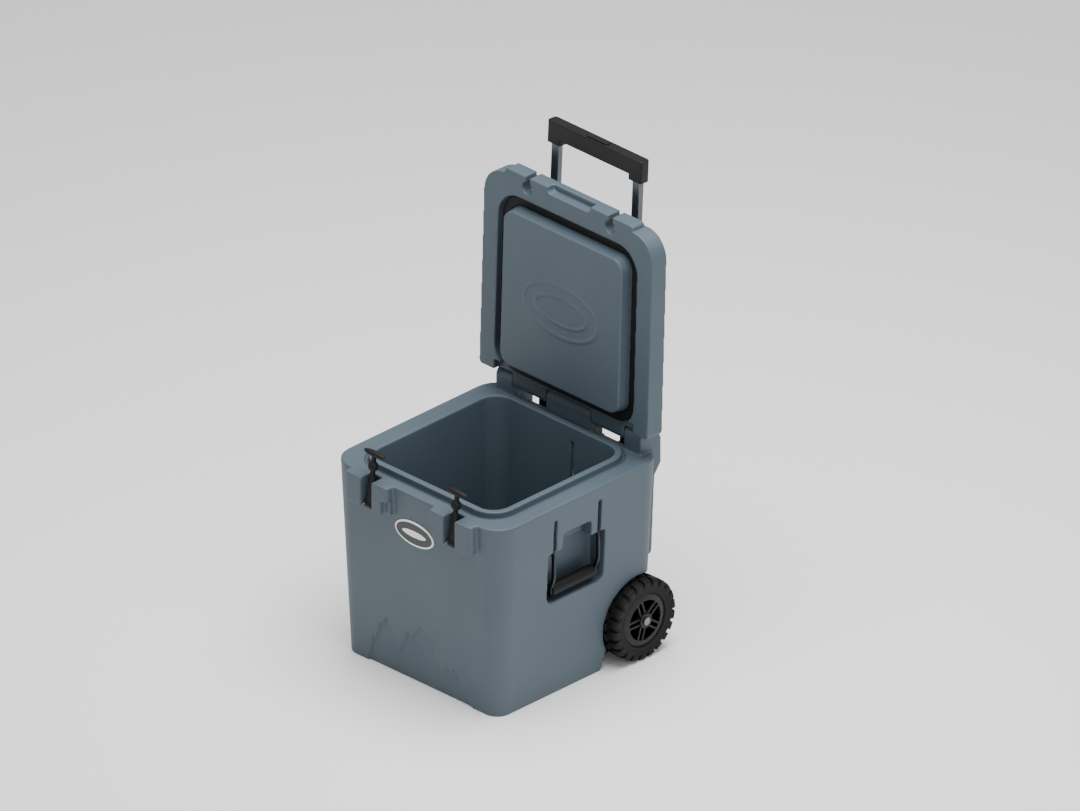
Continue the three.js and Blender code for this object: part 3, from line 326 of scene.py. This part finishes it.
def tyre(side):
    """Carcass, shoulder lugs and sidewall rings."""
    node = f"tyre_{side}"
    low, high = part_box(node)
    middle = (low + high) / 2
    radius = (high.z - low.z) / 2
    half = (high.x - low.x) / 2
    base = radius - TREAD
    inner = TYRE_BORE
    profile = [
        (inner, -half + 4 * MM),
        (inner + 3 * MM, -half + 1.5 * MM),
        (inner + 10 * MM, -half + 2.5 * MM),
        (inner + SIDE_RING, -half + 1.2 * MM),
        (base - 8 * MM, -half + 1.5 * MM),
        (base - 2 * MM, -half + 5 * MM),
        (base, -half + 11 * MM),
    ]
    profile += [(r, -x) for r, x in reversed(profile)]
    bm = bmesh.new()
    lathe(bm, profile, middle, 120)
    for i in range(LUGS):
        for row in (-1, 1):
            angle = 2 * math.pi * (i + 0.25 * row) / LUGS
            spread = 0.33 * 2 * math.pi / LUGS
            lug(bm, middle, angle, spread, row, half, base, radius)
    bmesh.ops.recalc_face_normals(bm, faces=bm.faces)
    obj = new_object(node + "_skin", to_mesh(bm, node + "_skin"), TYRE)
    bevel = obj.modifiers.new("bevel", "BEVEL")
    bevel.width = 0.8 * MM
    bevel.segments = 2
    bevel.limit_method = "ANGLE"
    bevel.angle_limit = math.radians(35)
    applied(obj)
    settle(obj, f"wheel_{side}", "tyre_rubber", node)


def lug(bm, middle, angle, spread, row, half, base, radius):
    """One tread block that wraps from the crown over the shoulder."""
    outline = [
        (base - 12 * MM, half - 0.9 * MM),
        (radius - 5 * MM, half),
        (radius - 0.3 * MM, half - 6 * MM),
        (radius, half - 21 * MM),
        (base - 3 * MM, half - 23 * MM),
        (base - 12 * MM, half - 8 * MM),
    ]
    sides = []
    for end in (-1, 0, 1):
        turn = angle + end * spread
        side = []
        for r, x in outline:
            at = Vector((row * x, r * math.cos(turn), r * math.sin(turn)))
            side.append(bm.verts.new(middle + at))
        sides.append(side)
    for a, b in zip(sides, sides[1:]):
        for k in range(len(outline)):
            n = (k + 1) % len(outline)
            bm.faces.new((a[k], a[n], b[n], b[k]))
    bm.faces.new(list(reversed(sides[0])))
    bm.faces.new(sides[2])


for side in ("right", "left"):
    ribbed_grip(side)
    tyre(side)

# ---- badge ----------------------------------------------------------------------------------------
BADGE_RIM = 4 * MM  # width of the white rim
BADGE_BAR = 8 * MM  # half height of the white middle


def badge():
    """An oval plate: black ground, white rim and a plain white oval in the middle."""
    low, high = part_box("front_badge")
    middle = (low + high) / 2
    lean = math.atan(WALL_DRAFT)
    face = Matrix.Translation(middle) @ Matrix.Rotation(math.pi / 2 + lean, 4, "X")
    half = Vector(((high.x - low.x) / 2, (high.z - low.z) / 2))
    steps = 96

    def plate(name, surface, wide, tall, z0, z1):
        bm = bmesh.new()
        loops = []
        for shrink, z in ((0, z0), (0, z1 - 0.4 * MM), (0.5 * MM, z1)):
            loop = []
            for i in range(steps):
                turn = 2 * math.pi * i / steps
                at = Vector(((wide - shrink) * math.cos(turn), (tall - shrink) * math.sin(turn), z))
                loop.append(bm.verts.new(face @ at))
            loops.append(loop)
        for a, b in zip(loops, loops[1:]):
            for i in range(steps):
                j = (i + 1) % steps
                bm.faces.new((a[i], a[j], b[j], b[i]))
        bm.faces.new(loops[-1])
        bm.faces.new(list(reversed(loops[0])))
        bmesh.ops.recalc_face_normals(bm, faces=bm.faces)
        obj = new_object(name, to_mesh(bm, name), surface)
        return settle(obj, "body", "badge")

    rim = plate("badge_rim", WHITE, half.x, half.y, -1.5 * MM, 0.9 * MM)
    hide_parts("front_badge")
    plate("badge_ground", INK, half.x - BADGE_RIM, half.y - BADGE_RIM, 0.5 * MM, 1.2 * MM)
    plate("badge_centre", WHITE, half.x - 22 * MM, BADGE_BAR, 1.0 * MM, 1.5 * MM)


badge()

# ---- CAD nodes that keep their shape --------------------------------------------------------------
KEPT = {
    STEEL: ("hinge_pin_",),
    BOLT_METAL: ("latch_pin_", "side_handle_pin_", "axle", "bracket_screw_"),
    ALUMINIUM: ("handle_inner_tube_", "handle_middle_tube_"),
    DARK_METAL: ("handle_sleeve_",),
    FOAM: ("body_foam", "lid_foam"),
    BLACK: ("foam_fill_plug", "lid_fill_plug"),
}
for surface, starts in KEPT.items():
    for name, obj in frame["nodes"].items():
        if name.startswith(starts):
            for place in obj.material_slots:
                place.material = surface

# ---- stage ----------------------------------------------------------------------------------------
FLOOR_SIZE = 30
CAMERA_BACK = 6  # camera's distance from what it looks at


def stage():
    bpy.ops.mesh.primitive_plane_add(size=FLOOR_SIZE)
    floor = bpy.context.object
    floor.name = "floor"
    paint = bpy.data.materials.new("floor_paint")
    paint.use_nodes = True
    shader = paint.node_tree.nodes["Principled BSDF"]
    shader.inputs["Base Color"].default_value = (0.94, 0.94, 0.94, 1)
    shader.inputs["Roughness"].default_value = 0.9
    floor.data.materials.append(paint)


def light(name, place, target, size, power):
    lamp = bpy.data.lights.new(name, "AREA")
    lamp.size = size
    lamp.energy = power
    obj = bpy.data.objects.new(name, lamp)
    bpy.context.scene.collection.objects.link(obj)
    obj.location = place
    obj.rotation_euler = (Vector(target) - Vector(place)).to_track_quat("-Z", "Y").to_euler()


def camera(azimuth, elevation, aim, width):
    data = bpy.data.cameras.new("camera")
    data.type = "ORTHO"
    data.ortho_scale = width
    obj = bpy.data.objects.new("camera", data)
    bpy.context.scene.collection.objects.link(obj)
    a = math.radians(azimuth)
    e = math.radians(elevation)
    away = Vector((math.sin(a) * math.cos(e), -math.cos(a) * math.cos(e), math.sin(e)))
    obj.location = Vector(aim) + away * CAMERA_BACK
    obj.rotation_euler = (-away).to_track_quat("-Z", "Y").to_euler()
    data.clip_end = 60
    bpy.context.scene.camera = obj


stage()
world = bpy.data.worlds.new("studio")
world.use_nodes = True
background = world.node_tree.nodes["Background"]
background.inputs["Color"].default_value = (1, 1, 1, 1)
background.inputs["Strength"].default_value = 0.5
bpy.context.scene.world = world
light("top", place=(0.3, 0.1, 3.6), target=(0, 0, 0.3), size=3.0, power=230)
light("right", place=(3.2, -0.6, 1.6), target=(0, 0, 0.4), size=2.0, power=22)
camera(azimuth=44.67, elevation=28.39, aim=(-0.0939, 0.2231, 0.46), width=2.281)
